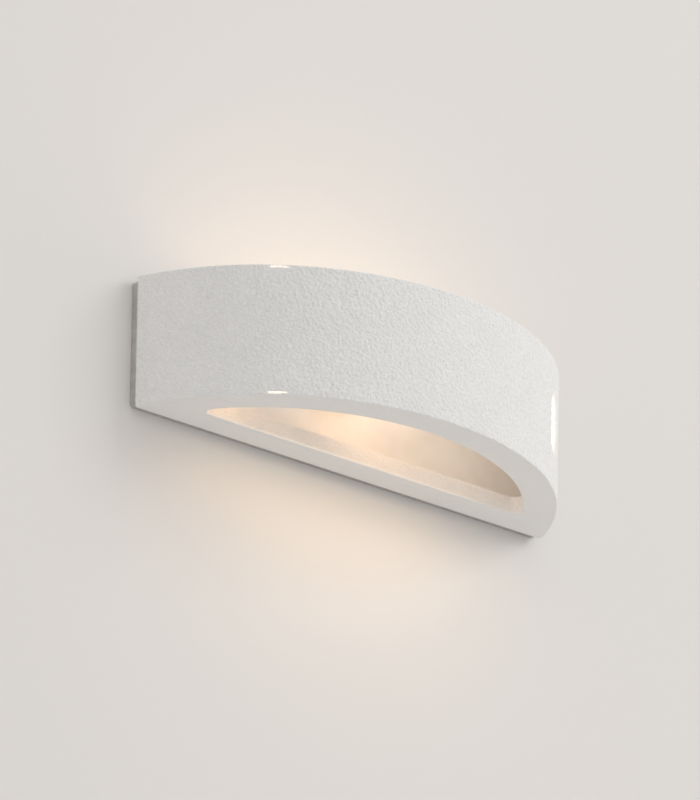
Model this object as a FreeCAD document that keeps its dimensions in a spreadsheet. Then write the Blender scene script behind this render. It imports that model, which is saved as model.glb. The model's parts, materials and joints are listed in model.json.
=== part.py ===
import FreeCAD, Part
import math
import os
import re
import Sketcher

# Wall light: a D-shaped plaster shade, open at the top and the bottom, on a shallow steel back
# plate with one lamp lying along the wall.
#
# Frame: the wall is the plane y = 0 and the light stands in front of it, towards -Y.
# +X runs along the wall and +Z is up. The origin is midway between the two wall fixing slots.
# All sizes are in millimetres and all angles in degrees.

SIZES = {
    # plaster shade
    "shade_width": 300.0,
    "shade_depth": 100.0,
    "shade_height": 80.0,
    "front_radius": 172.4,
    "blend_angle": 29.4,
    "rim_width": 19.5,
    "rim_height": 10.0,
    "back_bar": 18.7,
    "hollow_runout": 1.0,
    "shade_wall": 14.0,
    "edge_chamfer": 0.8,
    "lip_radius": 0.8,
    "tip_radius": 5.0,
    "shade_gap": 0.3,
    # back plate
    "plate_depth": 5.0,
    "plate_side_inset": 1.0,
    "plate_end_inset": 1.5,
    "plate_corner": 2.5,
    "sheet_steel": 1.2,
    "wall_slot_end": 17.0,
    "wall_slot_length": 12.0,
    "wall_slot_width": 4.8,
    "dimple_radius": 9.0,
    "plate_seam_radius": 0.8,
    # shade hangers
    "hanger_end": 42.0,
    "hanger_sheet": 1.5,
    "hanger_foot": 9.7,
    "hanger_nose": 7.4,
    "hanger_lip": 5.0,
    "hang_gap": 0.3,
    # shade screws, nuts, washers and sleeves
    "screw_radius": 2.0,
    "screw_length": 16.0,
    "screw_head_radius": 3.5,
    "screw_head_height": 2.6,
    "screw_slot_width": 1.0,
    "screw_slot_depth": 1.2,
    "nut_width": 7.0,
    "nut_height": 3.2,
    "nut_side_gap": 0.3,
    "thread_gap": 0.05,
    "washer_radius": 4.3,
    "washer_height": 0.8,
    "washer_bore_gap": 0.15,
    "head_gap": 0.1,
    "counterbore_radius": 4.8,
    "counterbore_depth": 5.0,
    "sleeve_radius": 3.0,
    "sleeve_bore": 2.2,
    # lamp axis and lampholder
    "lamp_reach": 48.0,
    "holder_rear": -76.0,
    "holder_length": 36.0,
    "holder_radius": 15.0,
    "holder_nose_radius": 12.5,
    "holder_nose_length": 14.0,
    "holder_rear_wall": 7.0,
    "holder_chamber_length": 6.0,
    "holder_chamber_radius": 9.5,
    "holder_partition": 3.0,
    "shell_radius": 7.55,
    "shell_wall": 0.4,
    "shell_length": 17.0,
    "shell_hole_radius": 3.4,
    "shell_pocket_gap": 0.05,
    "shell_lug_height": 0.8,
    "shell_lug_reach": 7.0,
    "terminal_width": 4.0,
    "terminal_height": 6.5,
    "terminal_split": 1.2,
    "contact_pin_radius": 1.5,
    "contact_head_radius": 2.6,
    "contact_length": 2.0,
    "contact_gap": 0.3,
    "holder_chamfer": 1.0,
    "holder_shoulder": 2.0,
    "socket_chamfer": 0.8,
    "lug_width": 3.0,
    # lampholder bracket
    "bracket_sheet": 1.5,
    "bracket_height": 20.0,
    "bracket_foot": 20.0,
    "bracket_nose": 13.0,
    "rivet_radius": 1.6,
    "rivet_head_radius": 3.2,
    "rivet_head_height": 1.1,
    "rivet_pitch": 11.0,
    # nipple with its nut and washer
    "nipple_radius": 5.0,
    "nipple_bore": 3.6,
    "nipple_tail": 5.0,
    "nipple_nut_radius": 8.0,
    "nipple_nut_height": 2.6,
    "nipple_washer_radius": 7.5,
    "nipple_washer_height": 0.8,
    # lamp
    "cap_radius": 6.85,
    "cap_wall": 0.35,
    "cap_length": 18.0,
    "cap_throat": 4.6,
    "cap_seam": 1.0,
    "cap_taper": 2.0,
    "insulator_length": 3.2,
    "insulator_rim": 0.4,
    "nub_length": 0.9,
    "nub_radius": 2.0,
    "collar_length": 21.0,
    "collar_mouth": 13.6,
    "collar_wall": 1.2,
    "collar_bead": 2.0,
    "collar_foot": 0.6,
    "collar_shoulder": 1.4,
    "bulb_length": 53.0,
    "bulb_radius": 17.5,
    "bulb_wall": 1.0,
    "bulb_tip_radius": 1.6,
    "bulb_belly_share": 0.36,
    "led_board_height": 1.6,
    "led_board_gap": 0.4,
    "led_board_edge": 1.0,
    "led_size": 2.8,
    "led_height": 0.8,
    "led_ring_radius": 7.5,
    "driver_width": 9.0,
    "driver_height": 1.2,
    "driver_gap": 1.0,
    "driver_setback": 2.5,
    # terminal block
    "block_x": 0.0,
    "block_top_gap": 3.0,
    "block_width": 17.0,
    "block_depth": 14.0,
    "pole_pitch": 9.0,
    "block_margin": 4.0,
    "barrel_radius": 2.6,
    "barrel_bore": 1.5,
    "barrel_length": 15.0,
    "barrel_gap": 0.1,
    "clamp_screw_radius": 1.25,
    "clamp_screw_offset": 4.2,
    "clamp_screw_sunk": 1.0,
    "clamp_screw_gap": 0.05,
    "block_screw_radius": 1.25,
    "block_screw_head": 2.2,
    "block_screw_head_height": 1.6,
    "block_screw_sunk": 3.8,
    "block_screw_gap": 0.2,
    # earth connection
    "earth_x": -46.0,
    "earth_z": 8.0,
    "earth_screw_radius": 2.0,
    "earth_head_radius": 3.8,
    "earth_head_height": 2.4,
    "earth_washer_radius": 4.2,
    "earth_washer_height": 0.7,
    "ring_radius": 4.2,
    "ring_height": 0.8,
    "ring_tail": 6.0,
    "ring_overlap": 1.0,
    "crimp_radius": 1.7,
    "crimp_length": 6.0,
    "crimp_lift": 0.2,
    # cable entry
    "cable_x": 38.0,
    "grommet_hole": 6.5,
    "grommet_flange": 8.5,
    "grommet_bore": 4.5,
    "grommet_lip": 1.3,
    "grommet_rear_lip": 1.6,
    # wires
    "wire_radius": 1.1,
    "wire_split": 1.6,
    "wire_tail": 18.0,
    "wire_lean": 3.0,
    "wire_bend": 11.5,
    "wire_lane": 7.0,
}

DERIVED = {
    "shade_back": "plate_depth + shade_gap",
    "shade_base": "-shade_height / 2",
    "front_centre": "front_radius - shade_depth - shade_back",
    "blend_x": "front_radius * sin(blend_angle)",
    "blend_y": "front_centre - front_radius * cos(blend_angle)",
    "span_x": "blend_x - shade_width / 2",
    "span_y": "blend_y + shade_back",
    "end_radius": "(span_x * span_x + span_y * span_y)"
                  " / (2 * (span_x * sin(blend_angle) - span_y * cos(blend_angle)))",
    "end_centre_x": "blend_x - end_radius * sin(blend_angle)",
    "end_centre_y": "blend_y + end_radius * cos(blend_angle)",
    "plate_width": "shade_width - 2 * plate_side_inset",
    "plate_height": "shade_height - 2 * plate_end_inset",
    "plate_face": "-plate_depth",
    "wall_slot_pitch": "plate_width - 2 * wall_slot_end",
    "hanger_pitch": "shade_width - 2 * hanger_end",
    "rim_under": "shade_height / 2 - rim_height",
    "hanger_top": "rim_under - hang_gap",
    "hanger_y": "-shade_back - back_bar / 2",
    "hanger_inner": "nut_width + 2 * nut_side_gap",
    "hanger_width": "hanger_inner + 2 * hanger_sheet",
    "screw_seat": "shade_height / 2 - counterbore_depth + washer_height + head_gap",
    "nut_top": "hanger_top - hanger_sheet - hang_gap",
    "lamp_y": "plate_face - lamp_reach",
    "chamber_start": "holder_rear + holder_rear_wall",
    "partition_start": "chamber_start + holder_chamber_length",
    "shell_start": "partition_start + holder_partition",
    "holder_front": "holder_rear + holder_length",
    "contact_tip": "shell_start + contact_length",
    "lamp_start": "contact_tip + contact_gap",
    "cap_start": "lamp_start + nub_length + insulator_length",
    "collar_start": "cap_start + cap_length",
    "bulb_start": "collar_start + collar_length",
    "barrel_y": "plate_face - block_depth / 2",
    "block_height": "2 * pole_pitch + 2 * block_margin",
    "block_z": "rim_under - block_top_gap - block_height / 2",
    "cable_z": "block_z",
    "terminal_start": "partition_start - terminal_width",
    "fixing_z": "block_z - pole_pitch / 2",
    "wire_turn": "holder_rear - wire_tail",
    "wire_rise": "wire_turn + wire_lean",
    "crimp_y": "plate_face - earth_washer_height - crimp_radius - crimp_lift",
    "crimp_x": "earth_x + ring_radius + ring_tail - 2 * ring_overlap",
}

FUNCTIONS = {"sin", "cos", "sqrt"}
TURNS = {
    "x": FreeCAD.Rotation(FreeCAD.Vector(0, 1, 0), 90),
    "-x": FreeCAD.Rotation(FreeCAD.Vector(0, 1, 0), -90),
    "y": FreeCAD.Rotation(FreeCAD.Vector(1, 0, 0), -90),
    "-y": FreeCAD.Rotation(FreeCAD.Vector(1, 0, 0), 90),
    "z": FreeCAD.Rotation(),
}

os.makedirs("parts", exist_ok=True)
doc = FreeCAD.newDocument("WallLight")
sheet = doc.addObject("Spreadsheet::Sheet", "Sheet")
nodes = []


# ---- sheet and expressions ----

def fill_sheet():
    """Writes every size, and every length worked out from them, into the sheet."""
    row = 1
    for table, lead in ((SIZES, ""), (DERIVED, "=")):
        for alias, text in table.items():
            sheet.set(f"A{row}", alias)
            sheet.set(f"B{row}", f"{lead}{text}")
            sheet.setAlias(f"B{row}", alias)
            row += 1
    doc.recompute()


def formula(text):
    """The expression with every size's name looked up in the sheet."""
    def look_up(match):
        word = match.group(0)
        return word if word in FUNCTIONS else f"Sheet.{word}"
    return re.sub(r"[a-z][a-z0-9_]*", look_up, str(text))


def bind(item, prop, text):
    """Ties a property to an expression of the sheet's sizes."""
    item.setExpression(prop, formula(text))


def worked_out(text):
    """The expression's present value, read from a working cell of the sheet."""
    sheet.set("D1", f"={text}")
    sheet.recompute()
    return float(sheet.get("D1"))


def node(item, label):
    """Names a finished sub-part."""
    item.Label = label
    nodes.append(item)
    return item


# ---- solid primitives ----

def place(item, centre, axis="z"):
    """Turns an object's own Z to the axis and ties its place to the sheet."""
    item.Placement = FreeCAD.Placement(FreeCAD.Vector(), TURNS[axis])
    for letter, text in zip("xyz", centre):
        bind(item, f"Placement.Base.{letter}", text)
    return item


def rod(name, radius, length, centre, axis="z"):
    item = doc.addObject("Part::Cylinder", name)
    bind(item, "Radius", radius)
    bind(item, "Height", length)
    return place(item, centre, axis)


def block(name, size, corner):
    item = doc.addObject("Part::Box", name)
    for prop, text in zip(("Length", "Width", "Height"), size):
        bind(item, prop, text)
    return place(item, corner)


def hexagon(name, radius, length, centre, axis="z"):
    item = doc.addObject("Part::Prism", name)
    item.Polygon = 6
    bind(item, "Circumradius", radius)
    bind(item, "Height", length)
    return place(item, centre, axis)


def joined(name, items):
    item = doc.addObject("Part::MultiFuse", name)
    item.Shapes = items
    return item


def cut(name, base, tools):
    item = doc.addObject("Part::Cut", name)
    item.Base = base
    item.Tool = tools[0] if len(tools) == 1 else joined(f"{name}_tools", tools)
    return item


def group(name, items):
    """Separate solids of one kind that share a node."""
    item = doc.addObject("Part::Compound", name)
    item.Links = items
    return item


def ring(name, radius, bore, height, centre, axis="z"):
    """A washer or a tube."""
    outer = rod(f"{name}_outer", radius, height, centre, axis)
    inner = rod(f"{name}_bore", bore, height, centre, axis)
    return cut(name, outer, [inner])


# ---- bodies with sketches ----

def new_body(name):
    return doc.addObject("PartDesign::Body", name)


def new_sketch(body, name, plane="XY_Plane", offset="0"):
    """A sketch on one of the body's own origin planes, moved along the plane's normal."""
    sketch = body.newObject("Sketcher::SketchObject", name)
    support = [item for item in body.Origin.OriginFeatures if item.Role == plane]
    sketch.AttachmentSupport = [(support[0], "")]
    sketch.MapMode = "FlatFace"
    bind(sketch, "AttachmentOffset.Base.z", offset)
    return sketch


def fix(sketch, kind, indices, text):
    """Adds a dimension tied to the sheet."""
    key = sketch.addConstraint(Sketcher.Constraint(kind, *indices, worked_out(text)))
    sketch.setExpression(f"Constraints[{key}]", formula(text))


def add_circle(sketch, centre, radius):
    middle = FreeCAD.Vector(worked_out(centre[0]), worked_out(centre[1]), 0)
    key = sketch.addGeometry(Part.Circle(middle, FreeCAD.Vector(0, 0, 1), worked_out(radius)), False)
    fix(sketch, "DistanceX", (-1, 1, key, 3), centre[0])
    fix(sketch, "DistanceY", (-1, 1, key, 3), centre[1])
    fix(sketch, "Radius", (key,), radius)


def arc_between(start, end, radius, side):
    """An arc of under a half circle; side 1 runs counter-clockwise, side -1 clockwise."""
    chord = end - start
    middle = (start + end) * 0.5
    rise = math.sqrt(max(radius * radius - chord.Length * chord.Length / 4, 0))
    normal = FreeCAD.Vector(-chord.y, chord.x, 0).normalize()
    centre = middle + normal * rise * side
    first, last = (start, end) if side > 0 else (end, start)
    angles = [math.atan2(point.y - centre.y, point.x - centre.x) for point in (first, last)]
    circle = Part.Circle(centre, FreeCAD.Vector(0, 0, 1), radius)
    return Part.ArcOfCircle(circle, angles[0], angles[1])


def add_outline(sketch, corners):
    """A closed outline. A corner is (x, y), or (x, y, radius, side) where an arc leaves it."""
    points = [FreeCAD.Vector(worked_out(item[0]), worked_out(item[1]), 0) for item in corners]
    ends = []
    for count, corner in enumerate(corners):
        start = points[count]
        end = points[(count + 1) % len(points)]
        if len(corner) == 2:
            key = sketch.addGeometry(Part.LineSegment(start, end), False)
            ends.append((key, 1, 2))
        else:
            arc = arc_between(start, end, worked_out(corner[2]), corner[3])
            key = sketch.addGeometry(arc, False)
            ends.append((key, 1, 2) if corner[3] > 0 else (key, 2, 1))
    for count, (key, first, last) in enumerate(ends):
        follower, follower_first, _ = ends[(count + 1) % len(ends)]
        sketch.addConstraint(Sketcher.Constraint("Coincident", key, last, follower, follower_first))
    for corner, (key, first, last) in zip(corners, ends):
        fix(sketch, "DistanceX", (-1, 1, key, first), corner[0])
        fix(sketch, "DistanceY", (-1, 1, key, first), corner[1])
        if len(corner) == 4:
            fix(sketch, "Radius", (key,), corner[2])


def add_rectangle(sketch, low, high):
    add_outline(sketch, [(low[0], low[1]), (high[0], low[1]), (high[0], high[1]), (low[0], high[1])])


def add_slot(sketch, centre, length, radius):
    """A slot along the sketch's X, with round ends."""
    left = f"{centre[0]} - ({length}) / 2 + {radius}"
    right = f"{centre[0]} + ({length}) / 2 - ({radius})"
    low = f"{centre[1]} - ({radius})"
    high = f"{centre[1]} + {radius}"
    middle = centre[1]
    add_outline(sketch, [
        (left, low), (right, low, radius, 1),
        (f"{centre[0]} + ({length}) / 2", middle, radius, 1), (right, high),
        (left, high, radius, 1), (f"{centre[0]} - ({length}) / 2", middle, radius, 1),
    ])


def pad(body, sketch, length, back=False):
    item = body.newObject("PartDesign::Pad", f"{sketch.Name}_pad")
    item.Profile = sketch
    item.Reversed = back
    bind(item, "Length", length)
    return item


def pocket(body, sketch, length, along=True):
    """Cuts along the sketch's normal, or against it."""
    item = body.newObject("PartDesign::Pocket", f"{sketch.Name}_pocket")
    item.Profile = sketch
    item.Reversed = along
    bind(item, "Length", length)
    return item


def dressed(body, base, kind, prop, size, chosen):
    """Rounds or bevels the base's edges that the test picks out."""
    doc.recompute()
    names = [f"Edge{count + 1}" for count, edge in enumerate(base.Shape.Edges) if chosen(edge)]
    item = body.newObject(f"PartDesign::{kind}", f"{base.Name}_{kind.lower()}")
    item.Base = (base, names)
    bind(item, prop, size)
    return item


def fillet(body, base, radius, chosen):
    return dressed(body, base, "Fillet", "Radius", radius, chosen)


def chamfer(body, base, size, chosen):
    return dressed(body, base, "Chamfer", "Size", size, chosen)


def turned(name, outline):
    """A body turned about the lamp's axis, from an outline of (x, radius) corners."""
    body = new_body(name)
    sketch = new_sketch(body, f"{name}_outline")
    add_outline(sketch, outline)
    item = body.newObject("PartDesign::Revolution", f"{name}_turn")
    item.Profile = sketch
    item.ReferenceAxis = (sketch, ["H_Axis"])
    item.Angle = 360
    return place(body, ("0", "lamp_y", "0"))


# ---- plaster shade ----

def shade_outline(inset, back):
    """The D-shaped plan of three tangent arcs, drawn in by the inset, cut straight at the back."""
    end_arc = f"end_radius - ({inset})"
    front_arc = f"front_radius - ({inset})"
    line = f"-shade_back - ({back})"
    reach = (f"end_centre_x + sqrt(({end_arc}) * ({end_arc})"
             f" - (end_centre_y - ({line})) * (end_centre_y - ({line})))")
    side_x = f"({front_arc}) * sin(blend_angle)"
    side_y = f"front_centre - ({front_arc}) * cos(blend_angle)"
    return [
        (f"-({reach})", line, end_arc, 1),
        (f"-({side_x})", side_y, front_arc, 1),
        (side_x, side_y, end_arc, 1),
        (reach, line),
    ]


def is_level(edge, height):
    box = edge.BoundBox
    return abs(box.ZMin - height) < 1e-4 and abs(box.ZMax - height) < 1e-4


def plaster_shade():
    body = new_body("plaster_shade")
    place(body, ("0", "0", "shade_base"))
    plan = new_sketch(body, "shade_plan")
    add_outline(plan, shade_outline("0", "0"))
    solid = pad(body, plan, "shade_height")
    tall = worked_out("shade_height")
    back = -worked_out("shade_back")

    def on_outer_rim(edge):
        level = is_level(edge, 0) or is_level(edge, tall)
        return level and edge.BoundBox.YMin < back - 1e-3

    solid = chamfer(body, solid, "edge_chamfer", on_outer_rim)
    opening = new_sketch(body, "shade_opening")
    add_outline(opening, shade_outline("rim_width", "back_bar"))
    solid = pocket(body, opening, "shade_height")
    inner = shade_opening_test(tall)
    solid = fillet(body, solid, "tip_radius", inner["tips"])
    solid = fillet(body, solid, "lip_radius", inner["lips"])
    hollow = new_sketch(body, "shade_hollow", offset="rim_height")
    add_outline(hollow, shade_outline("shade_wall", "-hollow_runout"))
    pocket(body, hollow, "shade_height - 2 * rim_height")
    for side, sign in (("left", "-"), ("right", "")):
        centre = (f"{sign}hanger_pitch / 2", "hanger_y")
        hole = new_sketch(body, f"screw_hole_{side}", offset="shade_height - rim_height")
        add_circle(hole, centre, "sleeve_radius")
        pocket(body, hole, "rim_height")
        bore = new_sketch(body, f"counterbore_{side}", offset="shade_height - counterbore_depth")
        add_circle(bore, centre, "counterbore_radius")
        pocket(body, bore, "counterbore_depth")
    return node(body, "plaster_shade")


def shade_opening_test(tall):
    """Tests that pick out the opening's upright tip edges and its level lips."""
    half = worked_out("shade_width / 2 - rim_width / 2")
    line = worked_out("-shade_back - back_bar")
    front = worked_out("-shade_back - shade_depth + rim_width")

    def tips(edge):
        box = edge.BoundBox
        upright = box.ZLength > tall - 1e-3 and box.XLength < 1e-3
        return upright and abs(box.YMin - line) < 1e-3

    def lips(edge):
        box = edge.BoundBox
        level = is_level(edge, 0) or is_level(edge, tall)
        inside = box.XMax < half and box.XMin > -half
        return level and inside and box.YMin > front - 1e-3 and box.YMax < line + 1e-3

    return {"tips": tips, "lips": lips}


# ---- back plate ----

def back_plate():
    body = new_body("back_plate")
    half_x = "plate_width / 2"
    half_z = "plate_height / 2"
    outer = new_sketch(body, "plate_outline", "XZ_Plane")
    add_rectangle(outer, (f"-{half_x}", f"-{half_z}"), (half_x, half_z))
    solid = pad(body, outer, "plate_depth")

    def upright(edge):
        return edge.BoundBox.YLength > 1e-3

    solid = fillet(body, solid, "plate_corner", upright)

    def on_front(edge):
        return edge.BoundBox.YMax < -worked_out("plate_depth") + 1e-4

    solid = fillet(body, solid, "plate_seam_radius", on_front)
    hollow = new_sketch(body, "plate_hollow", "XZ_Plane")
    add_rectangle(hollow, (f"-({half_x} - sheet_steel)", f"-({half_z} - sheet_steel)"),
                  (f"{half_x} - sheet_steel", f"{half_z} - sheet_steel"))
    solid = pocket(body, hollow, "plate_depth - sheet_steel")
    for side, sign in (("left", "-"), ("right", "")):
        centre = (f"{sign}wall_slot_pitch / 2", "0")
        boss = new_sketch(body, f"dimple_{side}", "XZ_Plane")
        add_circle(boss, centre, "dimple_radius")
        pad(body, boss, "plate_depth - sheet_steel / 2")
        dish = new_sketch(body, f"dish_{side}", "XZ_Plane", "sheet_steel")
        add_circle(dish, centre, "dimple_radius - sheet_steel")
        pocket(body, dish, "plate_depth - sheet_steel")
        slot = new_sketch(body, f"wall_slot_{side}", "XZ_Plane")
        add_slot(slot, centre, "wall_slot_length", "wall_slot_width / 2")
        pocket(body, slot, "sheet_steel")
    holes = new_sketch(body, "plate_holes", "XZ_Plane")
    add_circle(holes, ("cable_x", "cable_z"), "grommet_hole")
    add_circle(holes, ("earth_x", "earth_z"), "earth_screw_radius + thread_gap")
    add_circle(holes, ("block_x", "fixing_z"), "block_screw_radius + thread_gap")
    for height in ("rivet_pitch / 2", "-rivet_pitch / 2"):
        add_circle(holes, ("holder_rear + bracket_foot / 2", height), "rivet_radius + thread_gap")
    pocket(body, holes, "plate_depth")
    return node(body, "back_plate")


# ---- shade hangers and what clamps the shade to them ----

def shade_hanger(side, sign):
    """A forked channel ear: the screw enters its open slot from the front."""
    name = f"shade_hanger_{side}"
    middle = f"{sign}hanger_pitch / 2"
    body = new_body(name)
    place(body, (middle, "plate_face", "hanger_top"))
    web = new_sketch(body, f"{name}_web")
    reach = "hanger_y - plate_face - hanger_nose"
    add_rectangle(web, ("-hanger_width / 2", reach), ("hanger_width / 2", "0"))
    pad(body, web, "hanger_sheet", back=True)
    lips = new_sketch(body, f"{name}_lips", offset="-hanger_sheet")
    for edge in ("-hanger_width / 2", "hanger_width / 2 - hanger_sheet"):
        add_rectangle(lips, (edge, reach), (f"{edge} + hanger_sheet", "0"))
    pad(body, lips, "hanger_lip", back=True)
    foot = new_sketch(body, f"{name}_foot")
    add_rectangle(foot, ("-hanger_width / 2", "-hanger_sheet"), ("hanger_width / 2", "0"))
    pad(body, foot, "hanger_foot", back=True)
    slot = new_sketch(body, f"{name}_slot")
    width = "(screw_radius + hang_gap)"
    centre_y = "hanger_y - plate_face"
    add_outline(slot, [
        (f"-{width}", reach), (width, reach), (width, centre_y, width, 1),
        ("0", f"{centre_y} + {width}", width, 1), (f"-{width}", centre_y),
    ])
    pocket(body, slot, "hanger_sheet", along=False)
    return node(body, name)


def shade_screw(side, sign):
    name = f"shade_screw_{side}"
    x = f"{sign}hanger_pitch / 2"
    shank = rod(f"{name}_shank", "screw_radius", "screw_length",
                (x, "hanger_y", "screw_seat - screw_length"))
    head = rod(f"{name}_head", "screw_head_radius", "screw_head_height",
               (x, "hanger_y", "screw_seat"))
    slot = block(f"{name}_slot", ("2 * screw_head_radius", "screw_slot_width", "screw_slot_depth"),
                 (f"{x} - screw_head_radius", "hanger_y - screw_slot_width / 2",
                  "screw_seat + screw_head_height - screw_slot_depth"))
    item = cut(name, joined(f"{name}_blank", [shank, head]), [slot])
    return node(item, name)


def shade_nut(side, sign):
    name = f"shade_nut_{side}"
    x = f"{sign}hanger_pitch / 2"
    blank = block(f"{name}_blank", ("nut_width", "nut_width", "nut_height"),
                  (f"{x} - nut_width / 2", "hanger_y - nut_width / 2", "nut_top - nut_height"))
    bore = rod(f"{name}_bore", "screw_radius + thread_gap", "nut_height",
               (x, "hanger_y", "nut_top - nut_height"))
    return node(cut(name, blank, [bore]), name)


def rim_fittings(side, sign):
    """The washer under the screw's head and the sleeve cast into the plaster below it."""
    centre = (f"{sign}hanger_pitch / 2", "hanger_y")
    washer = ring(f"shade_washer_{side}", "washer_radius", "screw_radius + washer_bore_gap",
                  "washer_height", (*centre, "shade_height / 2 - counterbore_depth"))
    node(washer, f"shade_washer_{side}")
    sleeve = ring(f"rim_sleeve_{side}", "sleeve_radius", "sleeve_bore",
                  "rim_height - counterbore_depth", (*centre, "rim_under"))
    node(sleeve, f"rim_sleeve_{side}")


# ---- lampholder and its bracket ----

def lampholder_bracket():
    body = new_body("lampholder_bracket")
    place(body, ("holder_rear", "plate_face", "-bracket_height / 2"))
    arm = new_sketch(body, "bracket_plan")
    reach = "lamp_y - plate_face - bracket_nose"
    add_outline(arm, [
        ("-bracket_sheet", "0"), ("-bracket_sheet", reach), ("0", reach),
        ("0", "-bracket_sheet"), ("bracket_foot", "-bracket_sheet"), ("bracket_foot", "0"),
    ])
    pad(body, arm, "bracket_height")
    hole = new_sketch(body, "bracket_hole", "YZ_Plane", "-bracket_sheet")
    add_circle(hole, ("lamp_y - plate_face", "bracket_height / 2"), "nipple_radius + thread_gap")
    pocket(body, hole, "bracket_sheet")
    rivets = new_sketch(body, "bracket_rivet_holes", "XZ_Plane")
    for height in ("bracket_height / 2 - rivet_pitch / 2", "bracket_height / 2 + rivet_pitch / 2"):
        add_circle(rivets, ("bracket_foot / 2", height), "rivet_radius + thread_gap")
    pocket(body, rivets, "bracket_sheet")
    return node(body, "lampholder_bracket")


def bracket_rivets():
    rivets = []
    x = "holder_rear + bracket_foot / 2"
    for count, z in enumerate(("-rivet_pitch / 2", "rivet_pitch / 2")):
        name = f"bracket_rivet_{count + 1}"
        shank = rod(f"{name}_shank", "rivet_radius", "bracket_sheet + sheet_steel",
                    (x, "plate_face + sheet_steel", z), "-y")
        front = rod(f"{name}_front", "rivet_head_radius", "rivet_head_height",
                    (x, "plate_face - bracket_sheet", z), "-y")
        rear = rod(f"{name}_rear", "rivet_head_radius", "rivet_head_height",
                   (x, "plate_face + sheet_steel", z), "y")
        rivets.append(joined(name, [shank, front, rear]))
    return node(group("bracket_rivets", rivets), "bracket_rivets")


def nipple_set():
    """The threaded nipple that holds the lampholder to its bracket, with its nut and washer."""
    rear = "holder_rear - bracket_sheet"
    length = "holder_rear_wall + bracket_sheet + nipple_tail"
    axis_at = ("lamp_y", "0")
    node(ring("holder_nipple", "nipple_radius", "nipple_bore", length,
              (f"{rear} - nipple_tail", *axis_at), "x"), "holder_nipple")
    node(ring("nipple_washer", "nipple_washer_radius", "nipple_radius + thread_gap",
              "nipple_washer_height", (f"{rear} - nipple_washer_height", *axis_at), "x"),
         "nipple_washer")
    start = (f"{rear} - nipple_washer_height - nipple_nut_height", *axis_at)
    blank = hexagon("nipple_nut_blank", "nipple_nut_radius", "nipple_nut_height", start, "x")
    bore = rod("nipple_nut_bore", "nipple_radius + thread_gap", "nipple_nut_height", start, "x")
    node(cut("nipple_nut", blank, [bore]), "nipple_nut")


def lampholder_body():
    """The porcelain body: a rear wall, a wiring chamber, a partition and the lamp's socket."""
    bore = "nipple_radius + thread_gap"
    socket = "shell_radius + shell_pocket_gap"
    rear = turned("holder_rear_blank", [
        ("holder_rear", bore), ("holder_rear", "holder_radius - holder_chamfer"),
        ("holder_rear + holder_chamfer", "holder_radius"),
        ("holder_front - holder_nose_length", "holder_radius"),
        ("holder_front - holder_nose_length + holder_shoulder", "holder_nose_radius"),
        ("holder_front - holder_chamfer", "holder_nose_radius"),
        ("holder_front", "holder_nose_radius - holder_chamfer"),
        ("holder_front", f"{socket} + socket_chamfer"), ("holder_front - socket_chamfer", socket),
        ("shell_start", socket), ("shell_start", "contact_pin_radius + thread_gap"),
        ("partition_start", "contact_pin_radius + thread_gap"),
        ("partition_start", "holder_chamber_radius"),
        ("chamber_start", "holder_chamber_radius"), ("chamber_start", bore),
    ])
    lug = block("holder_lug_slot",
                ("holder_partition", "lug_width + 2 * shell_pocket_gap",
                 "shell_lug_height + 2 * shell_pocket_gap"),
                ("partition_start", "lamp_y - lug_width / 2 - shell_pocket_gap",
                 "-shell_lug_reach - shell_pocket_gap"))
    return node(cut("lampholder_body", rear, [lug]), "lampholder_body")


def lampholder_shell():
    """The threaded shell: a thin cup whose lug reaches back to the neutral terminal."""
    inner = "shell_radius - shell_wall"
    cup = turned("shell_cup", [
        ("shell_start", "shell_hole_radius"), ("shell_start", "shell_radius"),
        ("shell_start + shell_length", "shell_radius"), ("shell_start + shell_length", inner),
        ("shell_start + shell_wall", inner), ("shell_start + shell_wall", "shell_hole_radius"),
    ])
    lug = block("shell_lug", ("holder_partition + shell_wall", "lug_width", "shell_lug_height"),
                ("partition_start", "lamp_y - lug_width / 2", "-shell_lug_reach"))
    return node(joined("lampholder_shell", [cup, lug]), "lampholder_shell")


def lampholder_contacts():
    """The centre contact and the two terminals behind the partition."""
    pin = rod("contact_pin", "contact_pin_radius", "holder_partition + shell_wall",
              ("partition_start", "lamp_y", "0"), "x")
    head = turned("contact_head", [
        ("shell_start + shell_wall", "0"),
        ("shell_start + shell_wall", "contact_head_radius"),
        ("shell_start + 2 * shell_wall", "contact_head_radius"),
        ("contact_tip", "contact_pin_radius"), ("contact_tip", "0"),
    ])
    node(joined("lampholder_centre_contact", [pin, head]), "lampholder_centre_contact")
    size = ("terminal_width", "terminal_width", "terminal_height")
    y = "lamp_y - terminal_width / 2"
    live = block("holder_terminal_live", size, ("terminal_start", y, "terminal_split / 2"))
    neutral = block("holder_terminal_neutral", size,
                    ("terminal_start", y, "-terminal_split / 2 - terminal_height"))
    node(group("lampholder_terminals", [live, neutral]), "lampholder_terminals")


# ---- lamp ----

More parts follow.
